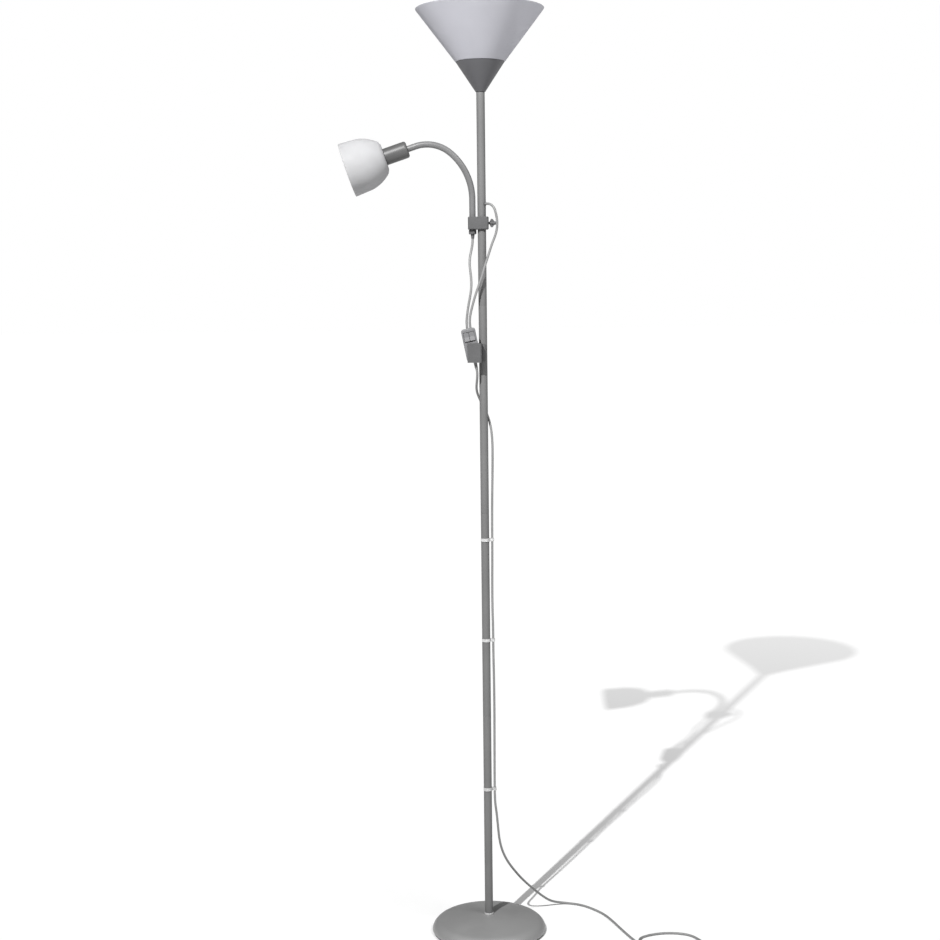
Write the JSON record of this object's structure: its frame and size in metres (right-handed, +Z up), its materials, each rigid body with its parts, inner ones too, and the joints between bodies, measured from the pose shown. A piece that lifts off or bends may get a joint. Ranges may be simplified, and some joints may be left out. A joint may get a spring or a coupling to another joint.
{
  "type": "floor lamp",
  "caption": "Torchiere floor lamp: round domed base, thin pole with an upward cone shade, and a clamped reading light on a flexible arm.",
  "frame": {"origin": "on the floor, under the pole's axis, at the underside of the base's pad", "axes": "+Z up along the pole, -Y to the front, where the switch is, -X to the reading light"},
  "size_m": [0.6982, 0.3132, 1.8],
  "materials": {
    "steel_painted": "satin",
    "base_paint": "satin",
    "tray_plastic": "matt",
    "cast_weight": "rough",
    "thread_steel": "satin",
    "clear_plastic": "translucent",
    "rubber_pad": "matt",
    "cup_plastic": "satin",
    "uplight_shade_plastic": "satin",
    "reading_shade_plastic": "satin",
    "grey_plastic": "satin",
    "switch_plastic": "satin",
    "arm_sleeve": "satin",
    "white_plastic": "gloss",
    "brass": "plain",
    "cap_metal": "plain",
    "bulb_glass": "clear",
    "lead_pvc": "satin",
    "pin_metal": "plated"
  },
  "bodies": {
    "stand": {"base_pad": "rubber_pad", "base_tray": "tray_plastic", "base_weight": "cast_weight", "base_cover": "base_paint", "base_stud": "thread_steel", "base_nut": "thread_steel", "base_collar": "clear_plastic", "pole_section_1": "steel_painted", "pole_section_2": "steel_painted", "pole_section_3": "steel_painted", "pole_section_4": "steel_painted", "pole_nipples": "thread_steel", "grommet": "grey_plastic", "uplight_wire": "lead_pvc", "uplight_cup": "cup_plastic", "uplight_lampholder": "white_plastic", "uplight_contacts": "brass", "uplight_shade": "uplight_shade_plastic", "uplight_shade_ring": "white_plastic", "uplight_bulb_cap": "cap_metal", "uplight_bulb_globe": "bulb_glass", "switch_holder": "grey_plastic", "switch_back_shell": "switch_plastic", "switch_front_shell": "switch_plastic", "switch_contacts": "brass", "switch_screws": "thread_steel", "rocker_axle": "thread_steel", "mains_relief": "lead_pvc", "uplight_lead": "lead_pvc", "reading_lead": "lead_pvc", "mains_lead": "lead_pvc", "mains_coil": "lead_pvc", "plug_lead": "lead_pvc", "coil_tie": "clear_plastic", "plug_body": "grey_plastic", "plug_pins": "pin_metal", "cable_clips": "clear_plastic"},
    "clamp": {"clamp_block": "grey_plastic"},
    "pad": {"pressure_pad": "thread_steel"},
    "wing_screw": {"wing_screw": "grey_plastic"},
    "arm_foot": {"arm_foot_tube": "thread_steel", "arm_foot_nut": "grey_plastic", "arm_relief": "grey_plastic"},
    "arm_1": {"arm_link_1": "arm_sleeve"},
    "arm_2": {"arm_link_2": "arm_sleeve"},
    "arm_3": {"arm_link_3": "arm_sleeve"},
    "arm_4": {"arm_link_4": "arm_sleeve"},
    "arm_5": {"arm_link_5": "arm_sleeve"},
    "arm_6": {"arm_link_6": "arm_sleeve"},
    "arm_7": {"arm_link_7": "arm_sleeve"},
    "arm_8": {"arm_link_8": "arm_sleeve", "reading_holder_cover": "reading_shade_plastic", "reading_lampholder": "white_plastic", "reading_contacts": "brass", "reading_shade_ring": "white_plastic", "reading_shade": "reading_shade_plastic", "reading_bulb_cap": "cap_metal", "reading_bulb_globe": "bulb_glass"},
    "rocker_uplight": {"rocker_uplight": "switch_plastic"},
    "rocker_reading": {"rocker_reading": "switch_plastic"}
  },
  "joints": [
    {"name": "clamp_slide", "type": "slide", "parent": "stand", "child": "clamp", "axis": [0, 0, 1], "range_m": [-0.08, 0.01], "deforming": ["reading_lead"]},
    {"name": "arm_turn", "type": "hinge", "parent": "clamp", "child": "arm_foot", "pos_m": [-0.0177, 0, 1.4], "axis": [0, 0, 1], "range_deg": [-60, 60]},
    {"name": "arm_swing_1", "type": "hinge", "parent": "arm_foot", "child": "arm_1", "pos_m": [-0.0177, 0, 1.424], "axis": [1, 0, 0], "range_deg": [-3, 3]},
    {"name": "arm_bend_1", "type": "hinge", "parent": "arm_1", "child": "arm_2", "pos_m": [-0.0177, 0, 1.445], "axis": [0, 1, 0], "range_deg": [-5, 3]},
    {"name": "arm_swing_2", "type": "hinge", "parent": "arm_2", "child": "arm_3", "pos_m": [-0.02043, 0, 1.46989], "axis": [0.9763, 0, 0.2164], "range_deg": [-15, 15]},
    {"name": "arm_bend_2", "type": "hinge", "parent": "arm_3", "child": "arm_4", "pos_m": [-0.02848, 0, 1.4936], "axis": [0, 1, 0], "range_deg": [-15, 9]},
    {"name": "arm_swing_3", "type": "hinge", "parent": "arm_4", "child": "arm_5", "pos_m": [-0.04146, 0, 1.51501], "axis": [0.7934, 0, 0.6088], "range_deg": [-15, 15]},
    {"name": "arm_bend_3", "type": "hinge", "parent": "arm_5", "child": "arm_6", "pos_m": [-0.05878, 0, 1.5331], "axis": [0, 1, 0], "range_deg": [-15, 9]},
    {"name": "arm_swing_4", "type": "hinge", "parent": "arm_6", "child": "arm_7", "pos_m": [-0.07903, 0, 1.5449], "axis": [0.3502, 0, 0.9367], "range_deg": [-15, 15]},
    {"name": "arm_bend_4", "type": "hinge", "parent": "arm_7", "child": "arm_8", "pos_m": [-0.10205, 0, 1.54927], "axis": [0, 1, 0], "range_deg": [-15, 9]},
    {"name": "pad_slide", "type": "slide", "parent": "clamp", "child": "pad", "axis": [1, 0, 0], "range_m": [0, 0.0008]},
    {"name": "wing_screw_turn", "type": "hinge", "parent": "pad", "child": "wing_screw", "pos_m": [0.02, 0, 1.4], "axis": [1, 0, 0], "range_deg": [0, 360]},
    {"name": "rocker_uplight_press", "type": "hinge", "parent": "stand", "child": "rocker_uplight", "pos_m": [-0.02117, -0.0285, 1.18523], "axis": [0.9803, 0, 0.1977], "range_deg": [0, 12]},
    {"name": "rocker_reading_press", "type": "hinge", "parent": "stand", "child": "rocker_reading", "pos_m": [-0.03136, -0.0285, 1.18318], "axis": [0.9803, 0, 0.1977], "range_deg": [0, 12]}
  ],
  "couplings": [
    {"joint": "arm_swing_2", "follows": "arm_swing_1", "ratio": 5},
    {"joint": "arm_bend_2", "follows": "arm_bend_1", "ratio": 3},
    {"joint": "arm_swing_3", "follows": "arm_swing_1", "ratio": 5},
    {"joint": "arm_bend_3", "follows": "arm_bend_1", "ratio": 3},
    {"joint": "arm_swing_4", "follows": "arm_swing_1", "ratio": 5},
    {"joint": "arm_bend_4", "follows": "arm_bend_1", "ratio": 3},
    {"joint": "wing_screw_turn", "follows": "pad_slide", "rad_per_m": 7854}
  ]
}
